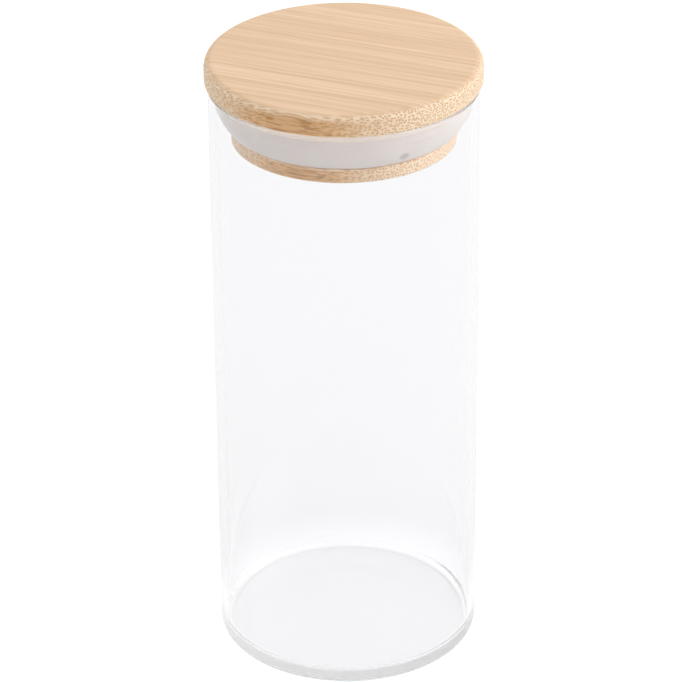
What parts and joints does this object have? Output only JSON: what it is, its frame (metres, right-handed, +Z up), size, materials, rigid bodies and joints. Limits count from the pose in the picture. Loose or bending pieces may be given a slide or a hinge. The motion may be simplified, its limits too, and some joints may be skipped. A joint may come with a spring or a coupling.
{
  "type": "food canister",
  "caption": "Straight clear glass storage jar closed by a turned bamboo lid with a silicone seal around its plug.",
  "frame": {"origin": "centre of the base, on the surface that the jar stands on", "axes": "+Z up along the jar's axis; -Y faces the viewer, +X to the viewer's right"},
  "size_m": [0.0664, 0.0664, 0.1568],
  "materials": {
    "glass": "clear blown borosilicate, fire-polished rim",
    "silicone": "translucent white moulded silicone, satin",
    "bamboo": "turned and sanded strip bamboo, light oil"
  },
  "bodies": {
    "jar": {"glass_jar": "glass"},
    "seal": {"silicone_seal": "silicone"},
    "lid": {"lid_strip_01": "bamboo", "lid_strip_02": "bamboo", "lid_strip_03": "bamboo", "lid_strip_04": "bamboo", "lid_strip_05": "bamboo", "lid_strip_06": "bamboo", "lid_strip_07": "bamboo", "lid_strip_08": "bamboo", "lid_strip_09": "bamboo", "lid_strip_10": "bamboo"}
  },
  "joints": [
    {"name": "lid_lift", "type": "slide", "parent": "jar", "child": "seal", "axis": [0, 0, 1], "range_m": [0, 0.06]},
    {"name": "lid_twist", "type": "hinge", "parent": "seal", "child": "lid", "pos_m": [0, 0, 0.151], "axis": [0, 0, 1], "continuous": true}
  ]
}
